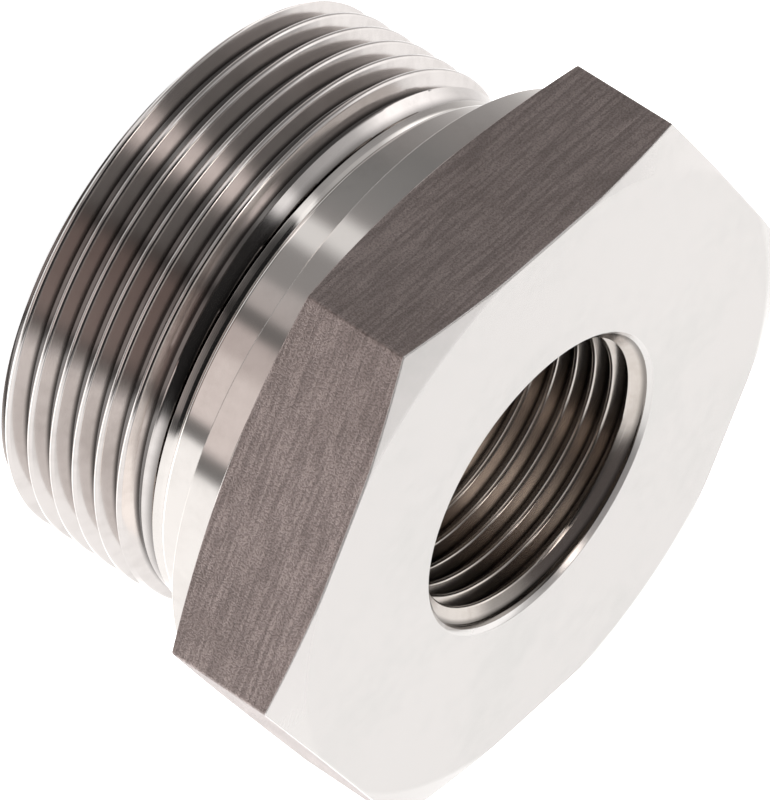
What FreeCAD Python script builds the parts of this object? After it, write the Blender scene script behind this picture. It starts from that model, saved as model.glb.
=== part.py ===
import FreeCAD, Part
import math
import os

# Hex bushing: male pipe thread on the stud, female pipe thread through the hexagon.
# One solid, turned from hexagon bar. Millimetres.
# +Z runs from the male end to the hexagon's front face, the origin is the middle of the male end,
# and two corners of the hexagon lie on the X axis.

# Lengths along the axis
overall_length = 36.0
stud_length = 21.65
collar_thickness = 2.69
relief_width = 1.1
relief_to_collar = 5.65
rim_width = 0.75

# Hexagon
across_flats = 55.0
front_chamfer_start_radius = 27.85
front_chamfer_angle = 13.4
back_chamfer_angle = 15.5

# Collar and stud
collar_diameter = 54.6
collar_edge_break = 0.25
shank_diameter = 46.8
shank_edge_chamfer = 0.33
relief_diameter = 44.4

# Male thread, 1 1/2 inch parallel pipe thread, 11 threads per inch, right-handed
male_major_diameter = 47.803
male_minor_diameter = 44.845
male_pitch = 2.309
male_root_flat = 0.385
male_thread_angle = 55.0
male_end_chamfer = 1.0
male_crest_runout_angle = 42.7

# Female thread, 3/4 inch parallel pipe thread, 14 threads per inch: bored at its minor diameter
female_minor_diameter = 24.117
countersink_depth = 1.98
countersink_angle = 45.0
drilled_depth = 22.0
drill_point_angle = 118.0
passage_diameter = 20.0
passage_edge_chamfer = 0.5

# Working stock and cutter clearances
stock_margin = 2.0
cutter_overlap = 0.2

AXIS_POINT = FreeCAD.Vector(0, 0, 0)
AXIS = FreeCAD.Vector(0, 0, 1)


def polygon_wire(points):
    """Return the closed wire through (radius, height) points in the XZ plane."""
    corners = [FreeCAD.Vector(radius, 0, height) for radius, height in points]
    return Part.makePolygon(corners + [corners[0]])


def turned(points):
    """Return the solid that a (radius, height) section sweeps in a full turn about the Z axis."""
    return Part.Face(polygon_wire(points)).revolve(AXIS_POINT, AXIS, 360)


def rise(run, angle):
    """Return the height gained over a radial run by a cone at an angle from the face plane."""
    return run * math.tan(math.radians(angle))


def hexagon_prism(flats, bottom, top):
    """Return a hexagonal prism with two corners on the X axis."""
    corner_radius = flats / 2 / math.cos(math.radians(30))
    corners = []
    for turn in range(0, 360, 60):
        angle = math.radians(turn)
        corners.append(FreeCAD.Vector(corner_radius * math.cos(angle), corner_radius * math.sin(angle), bottom))
    base = Part.Face(Part.makePolygon(corners + [corners[0]]))
    return base.extrude(FreeCAD.Vector(0, 0, top - bottom))


def head():
    """Return the hexagon with its turned front chamfer, back chamfer and collar."""
    stock_radius = across_flats / 2 / math.cos(math.radians(30)) + stock_margin
    collar_radius = collar_diameter / 2
    collar_top = stud_length + collar_thickness
    back_edge = collar_top + rise(stock_radius - collar_radius, back_chamfer_angle)
    front_edge = overall_length - rise(stock_radius - front_chamfer_start_radius, front_chamfer_angle)
    blank = turned([
        (0, stud_length),
        (collar_radius - collar_edge_break, stud_length),
        (collar_radius, stud_length + collar_edge_break),
        (collar_radius, collar_top),
        (stock_radius, back_edge),
        (stock_radius, front_edge),
        (front_chamfer_start_radius, overall_length),
        (0, overall_length),
    ])
    prism = hexagon_prism(across_flats, stud_length - stock_margin, overall_length + stock_margin)
    return blank.common(prism)


def neck(thread_top):
    """Return the stud above its thread: relief, rim and plain shank."""
    shank_radius = shank_diameter / 2
    rim_radius = shank_radius - shank_edge_chamfer
    relief_radius = relief_diameter / 2
    relief_top = thread_top + relief_width
    rim_top = relief_top + rim_width
    return turned([
        (0, thread_top),
        (relief_radius, thread_top),
        (relief_radius, relief_top),
        (rim_radius, relief_top),
        (rim_radius, rim_top),
        (shank_radius, rim_top + shank_edge_chamfer),
        (shank_radius, stud_length),
        (0, stud_length),
    ])


def thread_groove(thread_top):
    """Return the helical groove between the crests, from below the male end to past the thread's top."""
    root_radius = male_minor_diameter / 2
    outer_radius = male_major_diameter / 2 + cutter_overlap
    root_half = male_root_flat / 2
    outer_half = root_half + (outer_radius - root_radius) * math.tan(math.radians(male_thread_angle / 2))
    crest_to_groove = male_pitch / 2
    turns = math.ceil((thread_top + crest_to_groove + outer_half) / male_pitch)
    start = thread_top + crest_to_groove - turns * male_pitch
    helix = []
    for turn in range(turns):
        one_turn = Part.makeHelix(male_pitch, male_pitch, root_radius)
        one_turn.translate(FreeCAD.Vector(0, 0, start + turn * male_pitch))
        helix.extend(one_turn.Edges)
    section = polygon_wire([
        (outer_radius, start - outer_half),
        (root_radius, start - root_half),
        (root_radius, start + root_half),
        (outer_radius, start + outer_half),
    ])
    groove = Part.Wire(helix).makePipeShell([section], True, True)
    groove.rotate(AXIS_POINT, AXIS, male_crest_runout_angle)
    return groove


def threaded_end(thread_top):
    """Return the chamfered end of the stud with its thread cut.

    The layer that holds the crests is turned in quarters, so each crest is a chain of short faces.
    """
    major_radius = male_major_diameter / 2
    core_radius = major_radius - male_end_chamfer
    core = turned([
        (0, 0),
        (core_radius, 0),
        (core_radius, thread_top),
        (0, thread_top),
    ])
    crest_layer = polygon_wire([
        (core_radius, 0),
        (major_radius, male_end_chamfer),
        (major_radius, thread_top),
        (core_radius, thread_top),
    ])
    quarters = []
    for quarter in range(0, 360, 90):
        section = Part.Face(crest_layer.rotated(AXIS_POINT, AXIS, quarter))
        quarters.append(section.revolve(AXIS_POINT, AXIS, 90))
    return core.fuse(quarters).cut(thread_groove(thread_top))


def stud():
    """Return the stud: threaded end, thread relief, rim and plain shank."""
    thread_top = stud_length - relief_to_collar - relief_width
    return threaded_end(thread_top).fuse(neck(thread_top))


def bore():
    """Return the hollow: countersink, thread bore, drill point, passage and its edge chamfer."""
    minor_radius = female_minor_diameter / 2
    passage_radius = passage_diameter / 2
    mouth_radius = minor_radius + countersink_depth * math.tan(math.radians(countersink_angle))
    mouth_bottom = overall_length - countersink_depth
    drilled_bottom = overall_length - drilled_depth
    point_height = (minor_radius - passage_radius) / math.tan(math.radians(drill_point_angle / 2))
    return turned([
        (0, -stock_margin),
        (passage_radius + passage_edge_chamfer, -stock_margin),
        (passage_radius + passage_edge_chamfer, 0),
        (passage_radius, passage_edge_chamfer),
        (passage_radius, drilled_bottom - point_height),
        (minor_radius, drilled_bottom),
        (minor_radius, mouth_bottom),
        (mouth_radius, overall_length),
        (mouth_radius, overall_length + stock_margin),
        (0, overall_length + stock_margin),
    ])


def hex_bushing():
    """Return the finished bushing as one solid."""
    return head().fuse(stud()).cut(bore())


def main():
    """Build the bushing and write its STEP file."""
    os.makedirs("parts", exist_ok=True)
    solid = hex_bushing().Solids[0]
    solid.exportStep("parts/hex_bushing.step")


main()
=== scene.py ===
import logging
import math
from dataclasses import dataclass
from enum import Enum
from typing import NamedTuple

import bpy
import numpy as np
from mathutils import Matrix, Vector

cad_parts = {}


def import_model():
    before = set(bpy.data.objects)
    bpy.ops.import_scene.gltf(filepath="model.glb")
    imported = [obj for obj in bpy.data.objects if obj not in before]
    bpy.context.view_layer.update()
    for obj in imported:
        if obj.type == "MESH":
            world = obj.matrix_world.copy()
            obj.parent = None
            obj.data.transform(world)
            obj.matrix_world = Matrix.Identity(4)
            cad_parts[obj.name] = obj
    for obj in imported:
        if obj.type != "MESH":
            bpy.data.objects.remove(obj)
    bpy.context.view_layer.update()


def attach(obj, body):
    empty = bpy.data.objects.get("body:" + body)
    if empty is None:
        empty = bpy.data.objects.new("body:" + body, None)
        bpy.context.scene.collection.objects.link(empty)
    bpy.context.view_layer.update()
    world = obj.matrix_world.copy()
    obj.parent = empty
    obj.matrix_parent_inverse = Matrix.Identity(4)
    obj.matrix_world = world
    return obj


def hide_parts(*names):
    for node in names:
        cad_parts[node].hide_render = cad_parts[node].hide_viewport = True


# A hex bushing as one closed skin. Its section is carried round the axis in columns, Geometry Nodes cut both
# threads into it, and each stretch of it takes its own metal finish.
# Sizes are in millimetres and angles in degrees. Meshes, node trees and materials are in metres.

LOG = logging.getLogger("bushing")
MM = 0.001

# The 55 degree thread's section. What isn't an angle is a share of the pitch, and the cone's rounding is in
# millimetres.
HALF_THREAD_ANGLE = 27.5
FLANK_SLOPE = 1 / math.tan(math.radians(HALF_THREAD_ANGLE))
ROUNDED_ARC = 90.0 - HALF_THREAD_ANGLE
ROUNDING_PER_PITCH = 0.137329
DEPTH_PER_PITCH = 0.640327
ROOT_CORNER_PER_PITCH = 0.035
ROOT_PLACES = (0.0, 0.06, 0.083, 0.106)
RUNOUT_STEP = 0.045
CONE_ROUNDING = 0.12

# Where the crests stand: the pitch, the height of a crest near the top, how far round the axis it is there,
# and the turns below it.
MALE_PITCH = 2.309
MALE_TOP_CREST = 14.9
MALE_TOP_ANGLE = 42.7
MALE_TURNS = 6
FEMALE_PITCH = 1.814
FEMALE_TOP_CREST = 33.287
FEMALE_TURNS = 9
THREAD_LENGTHS = ("pitch", "start", "bottom", "top", "crest_radius", "cone_radius", "cone_height",
                  "fade_start", "fade_length", "runout_radius", "runout_height")

# How the skin is made. The corner columns and the corner's reach are angles from a corner of the hexagon.
CORNER_COLUMNS = (0.08, 0.16, 0.24, 0.317, 0.5)
CORNER_REACH = 0.318
LEAST_LENGTH = 1e-9
ROUNDING_SHARE = 0.45
WELD_DISTANCE = 0.0015
SHARP_ANGLE = 42.0
ENDWISE = 0.9
MARKS = ("zone", "finish_zone", "thread_row", "turn")
ZONE_TOLERANCE = 0.1


class Zone(Enum):
    """A stretch of the bushing's skin, with the number of the finish it takes."""

    PASSAGE = 0
    END_FACE = 1
    MALE_THREAD = 2
    NECK = 3
    COLLAR = 4
    FLATS = 5
    FACE = 6
    COUNTERSINK = 7
    FEMALE_THREAD = 8


class Noise(NamedTuple):
    """A noise pattern: its scale, the detail in it and how rough that detail is."""

    scale: float
    detail: float
    roughness: float


# Stains, tool marks and the floor's tone.
BROAD_STAIN = Noise(90.0, 3.0, 0.55)
FINE_STAIN = Noise(700.0, 3.0, 0.6)
BROAD_SHARE = 0.65
STAIN_RANGE = (0.42, 0.68)
UNIT_NOISE = Noise(1.0, 2.0, 0.5)
RING_WANDER = (0.35, 0.11)
RING_DRIFT = 3.0
RING_FLOOR = 0.35
PIT_DETAIL = (1.5, 0.5)
PIT_ROUGHNESS = 0.1
PIT_SHADE = 0.35
STREAKS_ALONG, STREAKS_ROUND, STREAKS_OUTWARD = 2900.0, 6.0, 30.0
STREAK_SHADE = 0.42
MARK_RANGE = (0.36, 0.62)
MARK_STRENGTH = 0.45
BRUSH_TURN = 0.25
FLOOR_CLOUD = Noise(3.0, 2.0, 0.5)
BLUE_LOSS = 0.25

# Radii of painted shade, where a finish is darkened and past which it is left as it is: between the threads'
# roots, and in the groove's slot.
ROOT_SHADES = ((22.45 * MM, 22.9 * MM), (13.18 * MM, 12.8 * MM))
SLOT_SHADES = ((22.35 * MM, 22.45 * MM),)


def opaque(colour: tuple[float, ...]) -> tuple[float, ...]:
    """Return a colour with full alpha."""
    return (*colour, 1.0)


class Field:
    """A node socket that sums can be written with."""

    def __init__(self, sheet: "Sheet", socket: bpy.types.NodeSocket) -> None:
        """Wrap a socket of the sheet's tree."""
        self.sheet = sheet
        self.socket = socket

    def __add__(self, other: "Value") -> "Field":
        """Return self + other."""
        return self.sheet.math("ADD", self, other)

    def __radd__(self, other: "Value") -> "Field":
        """Return other + self."""
        return self.sheet.math("ADD", other, self)

    def __sub__(self, other: "Value") -> "Field":
        """Return self - other."""
        return self.sheet.math("SUBTRACT", self, other)

    def __rsub__(self, other: "Value") -> "Field":
        """Return other - self."""
        return self.sheet.math("SUBTRACT", other, self)

    def __mul__(self, other: "Value") -> "Field":
        """Return self * other."""
        return self.sheet.math("MULTIPLY", self, other)

    def __rmul__(self, other: "Value") -> "Field":
        """Return other * self."""
        return self.sheet.math("MULTIPLY", other, self)

    def __truediv__(self, other: "Value") -> "Field":
        """Return self / other."""
        return self.sheet.math("DIVIDE", self, other)

    def __rtruediv__(self, other: "Value") -> "Field":
        """Return other / self."""
        return self.sheet.math("DIVIDE", other, self)


Value = Field | float


class Sheet:
    """A node tree that is filled in by expressions."""

    def __init__(self, tree: bpy.types.NodeTree) -> None:
        """Take an empty or cleared tree."""
        self.tree = tree

    def node(self, kind: str, settings: dict[str, object] | None = None, **values: object) -> bpy.types.Node:
        """Add a node.

        Args:
            kind: the node's type.
            settings: attributes of the node, set before its sockets; "stops" fills a colour ramp.
            values: numbers, vectors or fields for the sockets; a name is a socket's name with
                underscores for spaces, or in_0, in_1 and so on for its place.

        Returns:
            The new node.
        """
        made = self.tree.nodes.new(kind)
        for name, setting in (settings or {}).items():
            if name == "stops":
                self._fill_ramp(made.color_ramp, setting)
            else:
                setattr(made, name, setting)
        for name, value in values.items():
            place = int(name[3:]) if name.startswith("in_") else name.replace("_", " ")
            self.feed(made.inputs[place], value)
        return made

    @staticmethod
    def _fill_ramp(ramp: bpy.types.ColorRamp, stops: list[tuple[float, tuple[float, float, float]]]) -> None:
        """Set a ramp's stops.

        Args:
            ramp: the ramp of a new node.
            stops: the place and colour of each stop, in rising order.
        """
        while len(ramp.elements) < len(stops):
            ramp.elements.new(1.0)
        for element, (place, colour) in zip(ramp.elements, stops):
            element.position = place
            element.color = opaque(colour)

    def feed(self, socket: bpy.types.NodeSocket, value: object) -> None:
        """Link a field to a socket, or set the socket's own value.

        Args:
            socket: the socket that takes the value.
            value: a field, another node's socket, or a number or vector.
        """
        if isinstance(value, Field):
            self.tree.links.new(value.socket, socket)
        elif isinstance(value, bpy.types.NodeSocket):
            self.tree.links.new(value, socket)
        else:
            socket.default_value = value

    def math(self, operation: str, *values: Value) -> Field:
        """Return the result of a Math node on up to three values."""
        named = {f"in_{place}": value for place, value in enumerate(values)}
        return Field(self, self.node("ShaderNodeMath", {"operation": operation}, **named).outputs[0])

    def held(self, value: Value, low: Value, high: Value) -> Field:
        """Return a value held between low and high."""
        return self.math("MINIMUM", self.math("MAXIMUM", value, low), high)

    def smoothstep(self, value: Value, low: float, high: float) -> Field:
        """Return 0 below low, 1 above high and a smooth rise between."""
        ramp = self.node("ShaderNodeMapRange", {"interpolation_type": "SMOOTHSTEP"},
                         Value=value, From_Min=low, From_Max=high)
        return Field(self, ramp.outputs[0])

    def mix(self, factor: Value, first: object, second: object) -> Field:
        """Return a colour between two colours."""
        made = self.node("ShaderNodeMix", {"data_type": "RGBA"}, in_0=factor, in_6=first, in_7=second)
        return Field(self, made.outputs[2])

    def noise(self, pattern: Noise, place: Field) -> Field:
        """Return a noise value of about 0 to 1 at a place."""
        made = self.node("ShaderNodeTexNoise", None, Vector=place, Scale=pattern.scale, Detail=pattern.detail,
                         Roughness=pattern.roughness)
        return Field(self, made.outputs[0])

    def vector(self, x: Value, y: Value, z: Value) -> Field:
        """Return a vector made of three values."""
        return Field(self, self.node("ShaderNodeCombineXYZ", None, in_0=x, in_1=y, in_2=z).outputs[0])

    def split(self, place: Field) -> tuple[Field, Field, Field]:
        """Return a vector's three values."""
        made = self.node("ShaderNodeSeparateXYZ", None, in_0=place)
        return Field(self, made.outputs[0]), Field(self, made.outputs[1]), Field(self, made.outputs[2])

    def dot(self, place: Field, direction: tuple[float, float, float]) -> Field:
        """Return the dot product of a vector and a fixed direction."""
        made = self.node("ShaderNodeVectorMath", {"operation": "DOT_PRODUCT"}, in_0=place, in_1=direction)
        return Field(self, made.outputs["Value"])


@dataclass(frozen=True)
class Finish:
    """A metal finish: how it is coloured, how rough it is and how its tool marks run.

    The colour and its stain lie in clouds, and brushed is how far the gloss is drawn out round the axis.
    Rings are a turning tool's marks. Pits and streaks are the skin of drawn bar.
    Each of shade_edges has the radius where painted shade darkens the metal to shade times the stain, and the
    radius past which it is unshaded. Where there are two, the painted shade lies between them.
    """

    name: str
    colour: tuple[float, float, float]
    stain: tuple[float, float, float]
    roughness: float
    roughness_spread: float
    brushed: float
    ring_pitch: float = 0.0
    ring_depth: float = 0.0
    pit_scale: float = 0.0
    pit_depth: float = 0.0
    streak_depth: float = 0.0
    metallic: float = 1.0
    shade: float = 1.0
    shade_edges: tuple[tuple[float, float], ...] = ()

    def material(self) -> bpy.types.Material:
        """Build the finish's material.

        Returns:
            The material, with its nodes reading Object coordinates.
        """
        made = bpy.data.materials.new(self.name)
        made.use_nodes = True
        made.node_tree.nodes.clear()
        sheet = Sheet(made.node_tree)
        place = Field(sheet, sheet.node("ShaderNodeTexCoord").outputs["Object"])
        x, y, z = sheet.split(place)
        radius = sheet.math("SQRT", x * x + y * y)
        broad = sheet.noise(BROAD_STAIN, place)
        cloud = sheet.noise(FINE_STAIN, place)
        stain = sheet.smoothstep(broad * BROAD_SHARE + cloud * (1 - BROAD_SHARE), *STAIN_RANGE)
        rough = self.roughness + (cloud - 0.5) * self.roughness_spread
        height: Value = 0.0
        colour = sheet.mix(stain, opaque(self.colour), opaque(self.stain))
        # Painted shade: between the shade edges the colour is darkened towards the stain at shade times its
        # brightness.
        if self.shade_edges:
            colour = sheet.mix(self._outside_painted_shade(sheet, radius), self._darker(self.shade), colour)
        if self.ring_depth > 0:
            height = height + self._rings(sheet, radius + z)
        if self.pit_depth > 0:
            pits = sheet.smoothstep(sheet.noise(Noise(self.pit_scale, *PIT_DETAIL), place), *MARK_RANGE)
            height = height + pits * self.pit_depth
            colour = self._marked(sheet, pits, PIT_SHADE, colour)
            rough = rough + (1 - pits) * PIT_ROUGHNESS
        if self.streak_depth > 0:
            angle = sheet.math("ARCTAN2", y, x)
            run = sheet.vector(z * STREAKS_ALONG, angle * STREAKS_ROUND, radius * STREAKS_OUTWARD)
            streak = sheet.noise(UNIT_NOISE, run)
            height = height + streak * self.streak_depth
            colour = self._marked(sheet, sheet.smoothstep(streak, *MARK_RANGE), STREAK_SHADE, colour)
        shader = sheet.node("ShaderNodeBsdfPrincipled", None, Base_Color=colour, Metallic=self.metallic,
                            Roughness=rough, Anisotropic=self.brushed, Anisotropic_Rotation=BRUSH_TURN)
        if isinstance(height, Field):
            bump = sheet.node("ShaderNodeBump", None, Height=height, Distance=1.0, Strength=1.0)
            sheet.feed(shader.inputs["Normal"], bump.outputs[0])
        output = sheet.node("ShaderNodeOutputMaterial")
        sheet.feed(output.inputs["Surface"], shader.outputs[0])
        return made

    def _darker(self, share: float) -> tuple[float, ...]:
        """Return the stain's colour at a share of its brightness."""
        return opaque(tuple(share * part for part in self.stain))

    def _outside_painted_shade(self, sheet: Sheet, radius: Field) -> Value:
        """Return how far the metal lies outside the painted shade.

        Args:
            sheet: the material's tree.
            radius: the distance from the axis.

        Returns:
            0 in the painted shade between the shade edges and 1 past them.
        """
        unshaded: Value = 0.0
        for shaded_radius, unshaded_radius in self.shade_edges:
            unshaded = sheet.math("MAXIMUM", unshaded, sheet.smoothstep(radius, shaded_radius, unshaded_radius))
        return unshaded

    def _rings(self, sheet: Sheet, way: Field) -> Field:
        """Return the height of the turning tool's rings.

        Args:
            sheet: the material's tree.
            way: the distance that the tool has gone, outwards and along the axis.

        Returns:
            A wave in metres, whose depth and pitch wander.
        """
        along = way / self.ring_pitch
        slow, slower = RING_WANDER
        wander = sheet.noise(UNIT_NOISE, sheet.vector(along * slow, along * slower, 0.0))
        ring = sheet.math("SINE", along * math.tau + wander * RING_DRIFT)
        return ring * (RING_FLOOR + wander * (1 - RING_FLOOR)) * self.ring_depth

    def _marked(self, sheet: Sheet, proud: Field, share: float, colour: Field) -> Field:
        """Return the colour with its low places darkened."""
        return sheet.mix(proud * MARK_STRENGTH + (1 - MARK_STRENGTH), self._darker(share), colour)


TURNED_FACE = Finish(
    "turned_face", (0.706, 0.676, 0.658), (0.67, 0.65, 0.63), roughness=0.24, roughness_spread=0.06,
    brushed=0.3, ring_pitch=0.09 * MM, ring_depth=0.0006 * MM, metallic=0.72)
# The neck's finish is darkened nearly to black in the groove's slot: painted shade.
TURNED_NECK = Finish(
    "turned_neck", (0.74, 0.70, 0.67), (0.68, 0.64, 0.61), roughness=0.13, roughness_spread=0.06,
    brushed=0.45, ring_pitch=0.11 * MM, ring_depth=0.0002 * MM, shade=0.12, shade_edges=SLOT_SHADES)
# The cut thread's finish is darkened in its roots: painted shade.
CUT_THREAD = Finish(
    "cut_thread", (0.66, 0.62, 0.60), (0.58, 0.54, 0.52), roughness=0.16, roughness_spread=0.06,
    brushed=0.2, ring_pitch=0.16 * MM, ring_depth=0.0002 * MM, shade=0.35, shade_edges=ROOT_SHADES)
# The tapped thread's colours are the cut thread's made darker: painted shade inside the bore. Its roots are
# darkened further: painted shade too.
TAPPED_THREAD_IN_SHADE = Finish(
    "tapped_thread", (0.60, 0.55, 0.51), (0.52, 0.47, 0.43), roughness=0.2, roughness_spread=0.06,
    brushed=0.2, shade=0.42, shade_edges=ROOT_SHADES)
DRAWN_FLAT = Finish(
    "drawn_flat", (0.50, 0.42, 0.40), (0.425, 0.355, 0.335), roughness=0.40, roughness_spread=0.12,
    brushed=0.0, pit_scale=6500.0, pit_depth=0.014 * MM, streak_depth=0.080 * MM)


@dataclass(frozen=True)
class PipeThread:
    """A 55 degree pipe thread on the bushing, in millimetres.

    side is 1 for a male thread and -1 for a female one. start is the height of a crest at turn 0.
    Crests are round and roots are cut nearly flat. The cone is the chamfer that cuts the thread at its open
    end. The thread deepens from nothing over fade_length, from fade_start up. The run-out is the slope that
    cuts a male thread away at its top, with rows close together over the last runout_turns.
    """

    name: str
    zone: Zone
    side: int
    pitch: float
    crest_radius: float
    bottom: float
    top: float
    start: float
    cone_radius: float
    cone_height: float
    fade_start: float
    fade_length: float
    crest_steps: int
    runout_radius: float = 0.0
    runout_height: float = 0.0
    runout_slope: float = 0.0
    runout_turns: int = 0

    def phases(self) -> list[float]:
        """Space the rows of one pitch, close together on the crest and at the root's corners.

        Returns:
            The rows' places in shares of the pitch, in rising order.
        """
        places = set()
        for step in range(-self.crest_steps, self.crest_steps + 1):
            arc = math.radians(ROUNDED_ARC * step / self.crest_steps)
            places.add(round((ROUNDING_PER_PITCH * math.sin(arc)) % 1.0, 5))
        for place in ROOT_PLACES:
            places.update((0.5 - place, 0.5 + place))
        return sorted(places)

    def rows(self) -> list[float]:
        """Space the rows of the whole thread.

        Returns:
            The rows' places, in pitches from the start, in rising order.
        """
        first = math.floor((self.bottom - self.start) / self.pitch) - 1
        last = math.ceil((self.top - self.start) / self.pitch)
        places = {round(turn + phase, 5) for turn in range(first, last) for phase in self.phases()}
        for step in range(int(self.runout_turns / RUNOUT_STEP)):
            places.add(round(last - self.runout_turns + step * RUNOUT_STEP, 5))
        return sorted(places)

    def top_radius(self) -> float:
        """Find where the thread's skin ends at its top.

        Returns:
            The radius there: on the run-out for a male thread, on the cone for a female one.
        """
        if self.side > 0:
            return self.runout_radius + self.runout_slope * (self.runout_height - self.top)
        return self.cone_radius + self.top - self.cone_height

    def tree(self, finish: bpy.types.Material) -> bpy.types.GeometryNodeTree:
        """Build the nodes that cut the thread.

        Args:
            finish: the material of the thread's skin.

        Returns:
            A tree that moves the vertices of this thread's zone onto its helix.
        """
        tree = bpy.data.node_groups.new(f"cut_{self.name}", "GeometryNodeTree")
        tree.interface.new_socket("Geometry", in_out="INPUT", socket_type="NodeSocketGeometry")
        for name in self.inputs():
            tree.interface.new_socket(name, in_out="INPUT", socket_type="NodeSocketFloat")
        tree.interface.new_socket("Geometry", in_out="OUTPUT", socket_type="NodeSocketGeometry")
        sheet = Sheet(tree)
        given = sheet.node("NodeGroupInput")
        size = {name: Field(sheet, given.outputs[name]) for name in self.inputs()}
        turn = self._attribute(sheet, "turn")
        climb = self._attribute(sheet, "thread_row") + turn
        height = sheet.held(climb * size["Pitch"] + size["Start"], size["Bottom"], size["Top"])
        angle = turn * math.tau
        radius = self._skin_radius(sheet, size, turn, height)
        spot = sheet.vector(sheet.math("COSINE", angle) * radius, sheet.math("SINE", angle) * radius, height)
        mine = self._in_zone(sheet, "zone")
        moved = sheet.node("GeometryNodeSetPosition", None, Geometry=given.outputs["Geometry"],
                           Selection=mine, Position=spot)
        real = sheet.node("GeometryNodeRealizeInstances", None, Geometry=moved.outputs[0])
        own = self._in_zone(sheet, "finish_zone")
        dressed = sheet.node("GeometryNodeSetMaterial", None, Geometry=real.outputs[0], Selection=own,
                             Material=finish)
        output = sheet.node("NodeGroupOutput")
        sheet.feed(output.inputs[0], dressed.outputs[0])
        return tree

    def _skin_radius(self, sheet: Sheet, size: dict[str, Field], turn: Field, height: Field) -> Field:
        """Work out how far from the axis the thread's skin lies.

        Args:
            sheet: the tree that is filled in.
            size: the tree's inputs by name.
            turn: the share of a turn round the axis.
            height: the height along the axis.

        Returns:
            The radius, cut by the cone at the open end and by the run-out at the top.
        """
        place = (height - size["Start"]) / size["Pitch"] - turn
        distance = sheet.math("ABSOLUTE", place - sheet.math("ROUND", place)) * size["Pitch"]
        fade = sheet.held((height - size["Fade Start"]) / size["Fade Length"], 0.0, 1.0)
        crest = size["Side"] * size["Crest Radius"]
        skin = crest - self._drop(sheet, distance, size["Pitch"]) * fade
        cone = size["Side"] * (size["Cone Radius"] + height - size["Cone Height"])
        to_runout = size["Runout Height"] - height
        runout = size["Side"] * (size["Runout Radius"] + to_runout * size["Runout Slope"])
        skin = sheet.math("MINIMUM", skin, runout)
        return size["Side"] * sheet.math("SMOOTH_MIN", skin, cone, CONE_ROUNDING * MM)

    @staticmethod
    def _drop(sheet: Sheet, distance: Field, pitch: Field) -> Field:
        """Return how far the thread's section lies below its crest.

        Args:
            sheet: the tree that is filled in.
            distance: the distance along the axis from the nearest crest.
            pitch: the thread's pitch.

        Returns:
            The depth: a round crest, a straight flank and a nearly flat root.
        """
        rounding = pitch * ROUNDING_PER_PITCH
        shoulder = rounding * math.sin(math.radians(ROUNDED_ARC))
        over_crest = sheet.math("MINIMUM", distance, shoulder)
        fall = rounding - sheet.math("SQRT", rounding * rounding - over_crest * over_crest)
        run = sheet.math("MAXIMUM", distance - shoulder, 0.0)
        return sheet.math("SMOOTH_MIN", fall + run * FLANK_SLOPE, pitch * DEPTH_PER_PITCH,
                          pitch * ROOT_CORNER_PER_PITCH)

    @staticmethod
    def _attribute(sheet: Sheet, name: str) -> Field:
        """Return a number stored on the mesh."""
        return Field(sheet, sheet.node("GeometryNodeInputNamedAttribute", {"data_type": "FLOAT"},
                                       Name=name).outputs[0])

    def _in_zone(self, sheet: Sheet, name: str) -> Field:
        """Return 1 where the stored zone is this thread's, 0 elsewhere."""
        return sheet.math("COMPARE", self._attribute(sheet, name), float(self.zone.value), ZONE_TOLERANCE)

    def inputs(self) -> dict[str, float]:
        """Return the tree's inputs by name, such as "Crest Radius", with lengths in metres."""
        lengths = {name.replace("_", " ").title(): getattr(self, name) * MM for name in THREAD_LENGTHS}
        return {"Side": float(self.side), "Runout Slope": self.runout_slope, **lengths}

    def cut(self, piece: bpy.types.Object, finish: bpy.types.Material) -> None:
        """Put the thread's nodes on a piece, with its sizes set by the sockets' identifiers.

        Args:
            piece: the plain skin.
            finish: the material of the thread's skin.
        """
        modifier = piece.modifiers.new(self.name, "NODES")
        modifier.node_group = self.tree(finish)
        values = self.inputs()
        for item in modifier.node_group.interface.items_tree:
            if item.in_out == "INPUT" and item.name in values:
                modifier[item.identifier] = values[item.name]


MALE_THREAD = PipeThread(
    "male_thread", Zone.MALE_THREAD, side=1, pitch=MALE_PITCH, crest_radius=23.9015, bottom=0.0, top=15.45,
    start=MALE_TOP_CREST - MALE_PITCH * MALE_TOP_ANGLE / 360 - MALE_TURNS * MALE_PITCH,
    cone_radius=22.9015, cone_height=0.0, fade_start=-5.0, fade_length=1.0, crest_steps=5,
    runout_radius=22.2, runout_height=16.0, runout_slope=math.tan(math.radians(30.0)), runout_turns=3)
FEMALE_THREAD = PipeThread(
    "female_thread", Zone.FEMALE_THREAD, side=-1, pitch=FEMALE_PITCH, crest_radius=12.0585, bottom=15.5,
    top=35.65, start=FEMALE_TOP_CREST - FEMALE_TURNS * FEMALE_PITCH,
    cone_radius=13.6, cone_height=36.0, fade_start=15.6, fade_length=2.6, crest_steps=2)


@dataclass(frozen=True)
class Corner:
    """A corner of the turned section.

    It has a radius and a height at each column, how far its rounding reaches, and the zone that follows it.
    """

    radius: np.ndarray | float
    height: np.ndarray | float
    rounding: float
    zone: Zone


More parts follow.
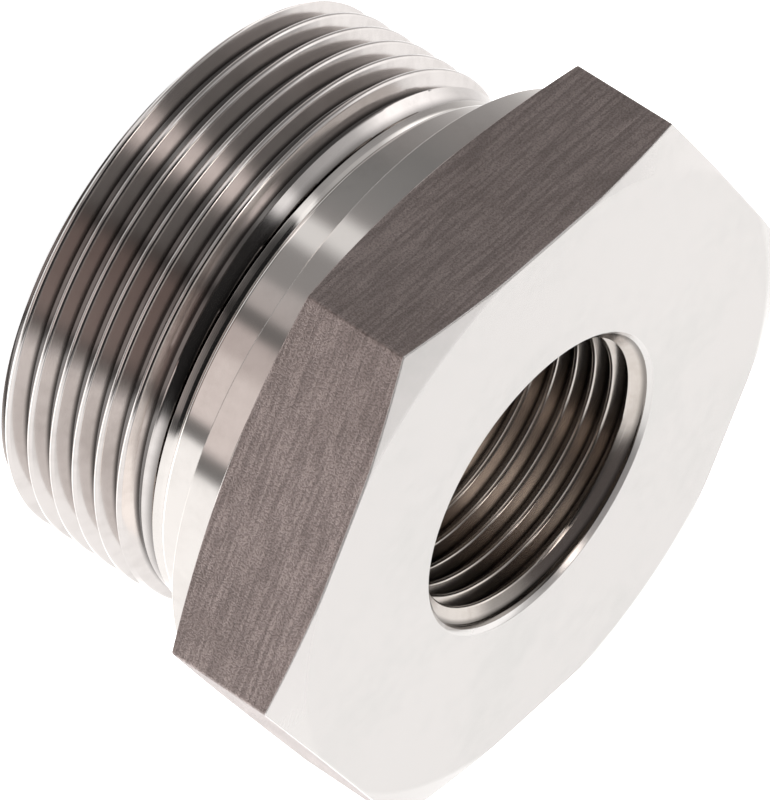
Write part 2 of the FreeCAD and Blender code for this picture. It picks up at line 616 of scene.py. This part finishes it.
@dataclass
class HexBushing:
    """The bushing as one skin: hexagon, collar, neck and both threads. Sizes in millimetres."""

    overall_length: float = 36.0
    across_flats: float = 55.0
    corner_rounding: float = 0.35
    collar_radius: float = 27.3
    collar_edge_break: float = 0.08
    collar_top: float = 24.34
    stud_length: float = 21.65
    shank_radius: float = 23.4
    rim_radius: float = 23.12
    rim_bottom: float = 16.0
    rim_lip: tuple[float, float] = (22.955, 16.6)
    rim_notch: tuple[float, float] = (22.83, 16.86)
    shank_bottom: float = 17.2
    relief_radius: float = 21.9
    relief_bottom: float = 15.7
    face_radius: float = 27.85
    face_inset: float = 0.12
    front_chamfer: float = math.tan(math.radians(13.4))
    least_chamfer: float = 0.08
    back_chamfer: float = math.tan(math.radians(15.5))
    passage_radius: float = 10.0
    passage_chamfer: float = 0.5
    drill_bottom: float = 12.76
    drill_top: float = 14.0
    mouth_radius: float = 13.6
    relief_rounding: float = 0.04
    lip_rounding: float = 0.12
    notch_rounding: float = 0.05
    shank_rounding: float = 0.25
    collar_fillet: float = 0.2
    collar_rounding: float = 0.03
    back_rounding: float = 0.12
    front_rounding: float = 0.1
    face_rounding: float = 0.25
    mouth_rounding: float = 0.05
    drill_rounding: float = 0.1
    passage_rounding: float = 0.08
    columns_per_side: int = 32
    rounding_steps: int = 3
    male: PipeThread = MALE_THREAD
    female: PipeThread = FEMALE_THREAD

    def column_angles(self) -> np.ndarray:
        """Space the columns of the skin, closer together at the hexagon's corners.

        Returns:
            Their angles in degrees, from 0 to 360.
        """
        near = np.array(CORNER_COLUMNS)
        base = np.linspace(0.0, 60.0, self.columns_per_side, endpoint=False)
        side = np.unique(np.concatenate([base, near, 60.0 - near]).round(6))
        return np.append(np.concatenate([side + 60.0 * turn for turn in range(6)]), 360.0)

    def hexagon_radius(self, degrees: np.ndarray) -> np.ndarray:
        """Find how far the hexagon reaches, with its corners rounded.

        Args:
            degrees: the columns' angles.

        Returns:
            The radius at each column.
        """
        off_corner = np.radians((degrees + 30.0) % 60.0 - 30.0)
        flat = self.across_flats / 2 / np.cos(np.radians(30.0) - np.abs(off_corner))
        centre = (self.across_flats / 2 - self.corner_rounding) / math.cos(math.radians(30.0))
        under = np.maximum(self.corner_rounding ** 2 - (centre * np.sin(off_corner)) ** 2, 0.0)
        rounded = centre * np.cos(off_corner) + np.sqrt(under)
        return np.where(np.abs(off_corner) < math.radians(CORNER_REACH), rounded, flat)

    def outer_corners(self, reach: np.ndarray) -> list[Corner]:
        """List the section's corners from the male thread's top to the countersink's mouth.

        Args:
            reach: how far the hexagon reaches at each column.

        Returns:
            The corners in order along the skin.
        """
        face_radius = np.minimum(self.face_radius, reach - self.face_inset)
        drop = np.maximum((reach - self.face_radius) * self.front_chamfer, self.least_chamfer)
        back = self.collar_top + (reach - self.collar_radius) * self.back_chamfer
        collar_inner, collar_edge = self.collar_radius - self.collar_edge_break, self.collar_radius
        edge_height = self.stud_length + self.collar_edge_break
        return [
            Corner(self.relief_radius, self.relief_bottom, self.relief_rounding, Zone.NECK),
            Corner(self.relief_radius, self.rim_bottom, self.relief_rounding, Zone.NECK),
            Corner(self.rim_radius, self.rim_bottom, self.relief_rounding, Zone.NECK),
            Corner(*self.rim_lip, self.lip_rounding, Zone.NECK),
            Corner(*self.rim_notch, self.notch_rounding, Zone.NECK),
            Corner(self.shank_radius, self.shank_bottom, self.shank_rounding, Zone.NECK),
            Corner(self.shank_radius, self.stud_length, self.collar_fillet, Zone.COLLAR),
            Corner(collar_inner, self.stud_length, self.collar_rounding, Zone.COLLAR),
            Corner(collar_edge, edge_height, self.collar_rounding, Zone.COLLAR),
            Corner(collar_edge, self.collar_top, self.back_rounding, Zone.COLLAR),
            Corner(reach, back, self.back_rounding, Zone.FLATS),
            Corner(reach, self.overall_length - drop, self.front_rounding, Zone.FACE),
            Corner(face_radius, self.overall_length, self.face_rounding, Zone.FACE),
            Corner(self.mouth_radius, self.overall_length, self.mouth_rounding, Zone.COUNTERSINK),
        ]

    def inner_corners(self) -> tuple[list[Corner], list[Corner]]:
        """List the section's corners inside the bushing.

        Returns:
            The corners below the female thread, and those at the passage's open end.
        """
        deep = [
            Corner(self.female.crest_radius, self.drill_top, self.drill_rounding, Zone.PASSAGE),
            Corner(self.passage_radius, self.drill_bottom, self.drill_rounding, Zone.PASSAGE),
        ]
        mouth = self.passage_radius + self.passage_chamfer
        end = [
            Corner(self.passage_radius, self.passage_chamfer, self.passage_rounding, Zone.PASSAGE),
            Corner(mouth, 0.0, self.passage_rounding, Zone.END_FACE),
        ]
        return deep, end

    def skin_rows(self, degrees: np.ndarray) -> tuple[np.ndarray, np.ndarray, list[Zone], list[float]]:
        """Return the closed loop of rows that every column of the skin follows.

        Args:
            degrees: the columns' angles.

        Returns:
            Radii and heights by row and column, each row's zone, and its place along its thread.
        """
        count = len(degrees)
        deep, end = self.inner_corners()
        stations: list[Corner | PipeThread] = [*end, self.male]
        stations += [*self.outer_corners(self.hexagon_radius(degrees)), self.female, *deep]
        radii, heights, zones, places = [], [], [], []

        def add(radius: np.ndarray | float, height: np.ndarray | float, zone: Zone, place: float) -> None:
            """Add one row.

            Args:
                radius: the row's radius, at each column or all round.
                height: the row's height, likewise.
                zone: the zone that it belongs to.
                place: its place in pitches along a thread.
            """
            radii.append(np.broadcast_to(radius, count).astype(float))
            heights.append(np.broadcast_to(height, count).astype(float))
            zones.append(zone)
            places.append(place)

        for index, station in enumerate(stations):
            if isinstance(station, PipeThread):
                rows = station.rows()
                for place in rows if station.side > 0 else rows[::-1]:
                    add(station.crest_radius, 0.5 * (station.bottom + station.top), station.zone, place)
                continue
            before = self._spot(*self._end_of(stations[index - 1], after=False), count)
            after = self._spot(*self._end_of(stations[(index + 1) % len(stations)], after=True), count)
            spot = self._spot(station.radius, station.height, count)
            for step in range(self.rounding_steps + 1):
                bent = self._bend(before, spot, after, station.rounding, step / self.rounding_steps)
                add(bent[0], bent[1], station.zone, 0.0)
        return np.array(radii), np.array(heights), zones, places

    @staticmethod
    def _end_of(station: Corner | PipeThread, after: bool) -> tuple[np.ndarray | float, np.ndarray | float]:
        """Find the end of a neighbour that a corner is rounded towards.

        Args:
            station: the neighbour, a corner or a thread.
            after: whether it follows the corner along the skin.

        Returns:
            The radius and height of that end.
        """
        if isinstance(station, Corner):
            return station.radius, station.height
        if station.side > 0:
            return (station.cone_radius, station.bottom) if after else (station.top_radius(), station.top)
        return (station.top_radius(), station.top) if after else (station.crest_radius, station.bottom)

    @staticmethod
    def _spot(radius: np.ndarray | float, height: np.ndarray | float, count: int) -> np.ndarray:
        """Return radius and height as a two by count array."""
        return np.array([np.broadcast_to(radius, count), np.broadcast_to(height, count)], float)

    @staticmethod
    def _bend(before: np.ndarray, spot: np.ndarray, after: np.ndarray, rounding: float,
              share: float) -> np.ndarray:
        """Go round a rounded corner.

        Args:
            before: the skin's spots before the corner, by column.
            spot: the sharp corner.
            after: the skin's spots after it.
            rounding: how far the rounding reaches along each side.
            share: how far round to go, 0 to 1.

        Returns:
            The spots at that share of the way.
        """
        back, ahead = before - spot, after - spot
        back_length = np.maximum(np.linalg.norm(back, axis=0), LEAST_LENGTH)
        ahead_length = np.maximum(np.linalg.norm(ahead, axis=0), LEAST_LENGTH)
        reach = np.minimum(rounding, ROUNDING_SHARE * np.minimum(back_length, ahead_length))
        start = spot + back / back_length * reach
        stop = spot + ahead / ahead_length * reach
        return (1 - share) ** 2 * start + 2 * share * (1 - share) * spot + share ** 2 * stop

    def blank(self, finishes: list[bpy.types.Material]) -> bpy.types.Object:
        """Build the skin with its threads still plain.

        Args:
            finishes: the finish of each zone, in the zones' order.

        Returns:
            The piece, with the attributes that the thread nodes read.
        """
        degrees = self.column_angles()
        radii, heights, zones, places = self.skin_rows(degrees)
        rows, columns = radii.shape
        angles = np.radians(degrees)
        spots = np.stack([radii * np.cos(angles), radii * np.sin(angles), heights], axis=2) * MM
        row, column = np.meshgrid(np.arange(rows), np.arange(columns - 1), indexing="ij")
        here, below = row * columns + column, (row + 1) % rows * columns + column
        quads = np.stack([here, here + 1, below + 1, below], axis=2).reshape(-1, 4)
        mesh = bpy.data.meshes.new("hex_bushing_skin")
        mesh.from_pydata(spots.reshape(-1, 3).tolist(), [], quads.tolist())
        for finish in finishes:
            mesh.materials.append(finish)
        number = np.array([zone.value for zone in zones])
        face_zone = self._face_zones(zones)
        mesh.polygons.foreach_set("material_index", np.repeat(face_zone, columns - 1))
        self._store(mesh, "zone", "POINT", np.repeat(number, columns))
        self._store(mesh, "finish_zone", "FACE", np.repeat(face_zone, columns - 1))
        self._store(mesh, "thread_row", "POINT", np.repeat(places, columns))
        self._store(mesh, "turn", "POINT", np.tile(degrees / 360.0, rows))
        return self._placed(mesh, "hex_bushing_piece")

    @staticmethod
    def _face_zones(zones: list[Zone]) -> np.ndarray:
        """Find the zone of the faces between each row and the next.

        Args:
            zones: the zone of each row.

        Returns:
            The zones' numbers. The faces that leave a thread belong to what follows it.
        """
        leaving = {Zone.MALE_THREAD: Zone.NECK, Zone.FEMALE_THREAD: Zone.PASSAGE}
        numbers = []
        for index, zone in enumerate(zones):
            leaves = zone in leaving and zones[(index + 1) % len(zones)] is not zone
            numbers.append((leaving[zone] if leaves else zone).value)
        return np.array(numbers)

    @staticmethod
    def _store(mesh: bpy.types.Mesh, name: str, domain: str, values: np.ndarray) -> None:
        """Store a number on each point or face."""
        mesh.attributes.new(name, "FLOAT", domain).data.foreach_set("value", np.asarray(values, np.float32))

    @staticmethod
    def _placed(mesh: bpy.types.Mesh, name: str) -> bpy.types.Object:
        """Put a mesh in the scene.

        Args:
            mesh: the mesh.
            name: the new object's name.

        Returns:
            The new object.
        """
        piece = bpy.data.objects.new(name, mesh)
        bpy.context.scene.collection.objects.link(piece)
        return piece

    def build(self) -> bpy.types.Object:
        """Build the whole bushing and dress it.

        Returns:
            The finished piece, a plain closed mesh.
        """
        face, neck, thread, tapped, flat = (finish.material() for finish in (
            TURNED_FACE, TURNED_NECK, CUT_THREAD, TAPPED_THREAD_IN_SHADE, DRAWN_FLAT))
        finishes = {Zone.PASSAGE: tapped, Zone.END_FACE: face, Zone.MALE_THREAD: thread, Zone.NECK: neck,
                    Zone.COLLAR: neck, Zone.FLATS: flat, Zone.FACE: face, Zone.COUNTERSINK: face,
                    Zone.FEMALE_THREAD: tapped}
        blank = self.blank([finishes[zone] for zone in Zone])
        self.male.cut(blank, thread)
        self.female.cut(blank, tapped)
        weld = blank.modifiers.new("weld", "WELD")
        weld.merge_threshold = WELD_DISTANCE * MM
        mesh = self._plain(blank, "hex_bushing_welded")
        mesh.set_sharp_from_angle(angle=math.radians(SHARP_ANGLE))
        mesh.polygons.foreach_set("use_smooth", np.ones(len(mesh.polygons), bool))
        for name in MARKS:
            if name in mesh.attributes:
                mesh.attributes.remove(mesh.attributes[name])
        bpy.data.objects.remove(blank)
        return self._even_shading(mesh)

    def _even_shading(self, mesh: bpy.types.Mesh) -> bpy.types.Object:
        """Give the welded skin smooth and even normals.

        The modifier passes over faces as small as these are in metres, so it works on the mesh in
        millimetres.

        Args:
            mesh: the welded skin in metres.

        Returns:
            The finished piece.
        """
        mesh.transform(Matrix.Scale(1 / MM, 4))
        piece = self._placed(mesh, "hex_bushing_skin")
        shading = piece.modifiers.new("even_shading", "WEIGHTED_NORMAL")
        shading.keep_sharp = True
        metal = self._plain(piece, "hex_bushing_metal")
        metal.transform(Matrix.Scale(MM, 4))
        self._true_normals(metal)
        piece.modifiers.clear()
        piece.data = metal
        return piece

    def _true_normals(self, mesh: bpy.types.Mesh) -> None:
        """Point the normals of all that is turned straight out from the axis, and leave the flats' alone.

        Args:
            mesh: the finished skin, whose normals lean a little where its columns are unevenly spaced.
        """
        vertices, corners = np.empty(len(mesh.vertices) * 3), np.empty(len(mesh.loops), int)
        normals, faces = np.empty(len(mesh.loops) * 3), np.empty(len(mesh.polygons) * 3)
        sizes = np.empty(len(mesh.polygons), int)
        mesh.vertices.foreach_get("co", vertices)
        mesh.loops.foreach_get("vertex_index", corners)
        mesh.corner_normals.foreach_get("vector", normals)
        mesh.polygons.foreach_get("normal", faces)
        mesh.polygons.foreach_get("loop_total", sizes)
        spots, normals = vertices.reshape(-1, 3)[corners], normals.reshape(-1, 3)
        radius = np.hypot(spots[:, 0], spots[:, 1])
        endwise = np.repeat(np.abs(faces.reshape(-1, 3)[:, 2]) > ENDWISE, sizes)
        turned = (spots[:, 2] < self.collar_top * MM) | (radius < self.collar_radius * MM) | endwise
        outward = spots[:, :2] / radius[:, None]
        side = np.sign((normals[:, :2] * outward).sum(axis=1))
        level = np.hypot(normals[:, 0], normals[:, 1]) * side
        normals[turned, :2] = outward[turned] * level[turned, None]
        mesh.normals_split_custom_set(normals.tolist())

    @staticmethod
    def _plain(piece: bpy.types.Object, name: str) -> bpy.types.Mesh:
        """Apply a piece's modifiers.

        Args:
            piece: the piece, which keeps its own mesh.
            name: the new mesh's name.

        Returns:
            A plain mesh of what the modifiers make.
        """
        graph = bpy.context.evaluated_depsgraph_get()
        mesh = bpy.data.meshes.new_from_object(piece.evaluated_get(graph), preserve_all_data_layers=True,
                                               depsgraph=graph)
        mesh.name = name
        return mesh


@dataclass(frozen=True)
class Band:
    """A band of cards and gaps round the studio.

    Each stop has its azimuth from the camera's side, its level and how far it blushes.
    """

    stops: tuple[tuple[float, float, float], ...]

    def ramp(self, sheet: Sheet, around: Field) -> Field:
        """Paint the band.

        Args:
            sheet: the world's tree.
            around: the place round the studio, 0 to 1 for -180 to 180 degrees.

        Returns:
            The band's colour there.
        """
        stops = [((azimuth + 180.0) / 360.0, (level * (1 + blush), level, level * (1 - BLUE_LOSS * blush)))
                 for azimuth, level, blush in self.stops]
        made = sheet.node("ShaderNodeValToRGB", {"stops": stops}, Fac=around)
        return Field(sheet, made.outputs[0])


@dataclass
class Studio:
    """The floor, the camera and the soft light. Lengths in metres, the lens in millimetres.

    The bands lie one above the other, from below to high, and then the zenith. Each of seams has the sines
    of the elevations between which one gives way to the next.
    """

    azimuth: float = 64.196
    elevation: float = 25.227
    roll: float = 122.832
    distance: float = 0.76477
    aim: tuple[float, float, float] = (-0.001454, -0.000469, 0.02024)
    lens: float = 438.13
    sensor_width: float = 36.0
    clip: tuple[float, float] = (0.05, 50.0)
    floor_size: float = 6.0
    floor_tones: tuple[float, float] = (0.90, 0.93)
    floor_roughness: float = 0.9
    floor_glow: float = 0.9
    wash_size: float = 1.6
    wash_height: float = 1.6
    wash_power: float = 26.0
    below: Band = Band((
        (-180, 1.1, 0.0), (-60, 0.9, 0.0), (20, 1.0, 0.0), (150, 1.1, 0.0)))
    lower: Band = Band((
        (-180, 1.3, 0.0), (-132, 0.9, 0.0), (-118, 0.52, 0.05), (-92, 0.48, 0.05), (-85, 0.24, 0.0),
        (-46, 0.2, 0.0), (-42, 1.4, 0.05), (-30, 1.4, 0.05), (-26, 0.2, 0.0), (3, 0.2, 0.0),
        (5, 0.07, 0.0), (9, 0.07, 0.0), (12, 0.21, 0.26), (55, 0.24, 0.26), (58, 0.07, 0.1), (68, 0.07, 0.1),
        (70, 2.2, 0.0), (150, 2.0, 0.0)))
    low: Band = Band((
        (-180, 2.4, 0.0), (-158, 1.3, 0.0), (-124, 0.50, 0.02), (-108, 0.36, 0.02), (-90, 0.28, 0.03),
        (-72, 0.23, 0.0), (-52, 0.27, 0.0), (-41, 0.30, 0.02), (-36.5, 0.88, 0.0), (-29.5, 0.88, 0.0),
        (-24, 0.32, 0.02), (-10, 0.32, 0.03), (-7, 0.52, 0.06), (2, 0.50, 0.08), (4.5, 0.17, 0.05),
        (9.5, 0.17, 0.05), (12, 0.56, 0.12), (21, 0.58, 0.12), (26, 0.80, 0.1), (51, 0.82, 0.1),
        (54, 0.2, 0.04), (60, 0.2, 0.02), (62, 1.25, 0.0), (140, 1.3, 0.0), (158, 2.4, 0.0)))
    middle: Band = Band((
        (-180, 1.05, 0.0), (-150, 1.3, 0.0), (-96, 1.7, 0.0), (-80, 0.62, 0.0), (-56, 0.5, 0.0),
        (-46, 0.36, 0.0), (-43, 1.3, 0.0), (-35, 1.3, 0.0), (-32.5, 0.015, 0.0), (61, 0.015, 0.0),
        (63, 1.35, 0.0), (150, 1.3, 0.0), (176, 1.05, 0.0)))
    high: Band = Band((
        (-180, 1.0, 0.0), (-158, 0.85, 0.0), (-140, 0.45, 0.0), (-100, 0.52, 0.02), (-82, 0.5, 0.02),
        (-76, 0.08, 0.03), (-62, 0.08, 0.03), (-40, 0.07, 0.03), (60, 0.07, 0.03), (78, 0.2, 0.0),
        (94, 1.2, 0.0), (150, 1.1, 0.0)))
    zenith: tuple[float, float, float] = (0.11, 0.10, 0.10)
    seams: tuple[tuple[float, float], ...] = (
        (-0.88, -0.80), (-0.58, -0.50), (-0.12, 0.12), (0.55, 0.68), (0.80, 0.88))
    lamp: tuple[float, float, float] = (4.0, 3.7, 3.5)
    lamp_azimuth: float = -44.0
    lamp_elevation: float = 61.0
    lamp_core: float = 5.0
    lamp_edge: float = 9.0
    backdrop: tuple[float, float, float] = (0.95, 0.95, 0.95)

    def build(self) -> None:
        """Make the floor, the lights and the camera."""
        self._floor()
        self._wash()
        self._surround()
        self._camera()

    def _floor(self) -> None:
        """Make the pale floor, which the metal doesn't mirror."""
        half = self.floor_size / 2
        mesh = bpy.data.meshes.new("floor")
        mesh.from_pydata([(-half, -half, 0), (half, -half, 0), (half, half, 0), (-half, half, 0)], [],
                         [(0, 1, 2, 3)])
        material = bpy.data.materials.new("pale_floor")
        material.use_nodes = True
        material.node_tree.nodes.clear()
        sheet = Sheet(material.node_tree)
        place = Field(sheet, sheet.node("ShaderNodeTexCoord").outputs["Object"])
        dark, pale = (opaque((tone, tone, tone)) for tone in self.floor_tones)
        colour = sheet.mix(sheet.noise(FLOOR_CLOUD, place), dark, pale)
        shader = sheet.node("ShaderNodeBsdfPrincipled", None, Base_Color=colour,
                            Roughness=self.floor_roughness, Emission_Color=(1.0, 1.0, 1.0, 1.0),
                            Emission_Strength=self.floor_glow)
        output = sheet.node("ShaderNodeOutputMaterial")
        sheet.feed(output.inputs["Surface"], shader.outputs[0])
        mesh.materials.append(material)
        floor = bpy.data.objects.new("floor", mesh)
        bpy.context.scene.collection.objects.link(floor)
        floor.visible_glossy = False

    def _wash(self) -> None:
        """Light the floor from above with a wide soft lamp that the metal doesn't mirror."""
        lamp = bpy.data.lights.new("floor_wash", "AREA")
        lamp.shape = "DISK"
        lamp.size = self.wash_size
        lamp.energy = self.wash_power
        made = bpy.data.objects.new("floor_wash", lamp)
        made.location = (0.0, 0.0, self.wash_height)
        made.visible_glossy = False
        made.visible_camera = False
        bpy.context.scene.collection.objects.link(made)

    def _surround(self) -> None:
        """Paint the studio's cards and dark gaps round the bushing as soft bands of light."""
        world = bpy.data.worlds.new("studio")
        world.use_nodes = True
        world.node_tree.nodes.clear()
        bpy.context.scene.world = world
        sheet = Sheet(world.node_tree)
        look = Field(sheet, sheet.node("ShaderNodeTexCoord").outputs["Generated"])
        here = math.radians(self.azimuth)
        ahead = sheet.dot(look, (math.cos(here), math.sin(here), 0.0))
        aside = sheet.dot(look, (-math.sin(here), math.cos(here), 0.0))
        around = sheet.math("ARCTAN2", aside, ahead) / math.tau + 0.5
        upward = sheet.split(look)[2]
        colour, *others = (band.ramp(sheet, around) for band in (
            self.below, self.lower, self.low, self.middle, self.high))
        for (start, stop), following in zip(self.seams, [*others, opaque(self.zenith)]):
            colour = sheet.mix(sheet.smoothstep(upward, start, stop), colour, following)
        colour = sheet.mix(self._near_lamp(sheet, look), colour, opaque(self.lamp))
        seen = Field(sheet, sheet.node("ShaderNodeLightPath").outputs["Is Camera Ray"])
        colour = sheet.mix(seen, colour, opaque(self.backdrop))
        light = sheet.node("ShaderNodeBackground", None, Color=colour, Strength=1.0)
        output = sheet.node("ShaderNodeOutputWorld")
        sheet.feed(output.inputs["Surface"], light.outputs[0])

    def _near_lamp(self, sheet: Sheet, look: Field) -> Field:
        """Mark where the round lamp stands.

        Args:
            sheet: the world's tree.
            look: the direction that is looked in.

        Returns:
            1 in the lamp's core, and 0 outside its edge.
        """
        turn, tilt = math.radians(self.azimuth + self.lamp_azimuth), math.radians(self.lamp_elevation)
        towards = (math.cos(turn) * math.cos(tilt), math.sin(turn) * math.cos(tilt), math.sin(tilt))
        edge, core = (math.cos(math.radians(width)) for width in (self.lamp_edge, self.lamp_core))
        return sheet.smoothstep(sheet.dot(look, towards), edge, core)

    def _camera(self) -> None:
        """Set the camera at the photograph's viewing angle."""
        azimuth, elevation, roll = map(math.radians, (self.azimuth, self.elevation, self.roll))
        back = Vector((math.cos(azimuth) * math.cos(elevation), math.sin(azimuth) * math.cos(elevation),
                       math.sin(elevation)))
        rise = (Vector((0, 0, 1)) - back * back.z).normalized()
        level = rise.cross(back)
        up = rise * math.cos(roll) - level * math.sin(roll)
        right = up.cross(back)
        lens = bpy.data.cameras.new("camera")
        lens.lens = self.lens
        lens.sensor_width = self.sensor_width
        lens.clip_start, lens.clip_end = self.clip
        camera = bpy.data.objects.new("camera", lens)
        turn = Matrix((right, up, back)).transposed()
        camera.matrix_world = Matrix.Translation(Vector(self.aim) + back * self.distance) @ turn.to_4x4()
        bpy.context.scene.collection.objects.link(camera)
        bpy.context.scene.camera = camera


def main() -> None:
    """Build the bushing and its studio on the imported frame, and log each piece."""
    logging.basicConfig(level=logging.INFO, format="%(name)s: %(message)s")
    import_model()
    bpy.context.scene.view_settings.view_transform = "Standard"
    piece = HexBushing().build()
    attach(piece, "root")
    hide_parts("hex_bushing")
    LOG.info("%s: %d faces", piece.name, len(piece.data.polygons))
    Studio().build()
    LOG.info("studio built")


if __name__ == "__main__":
    main()
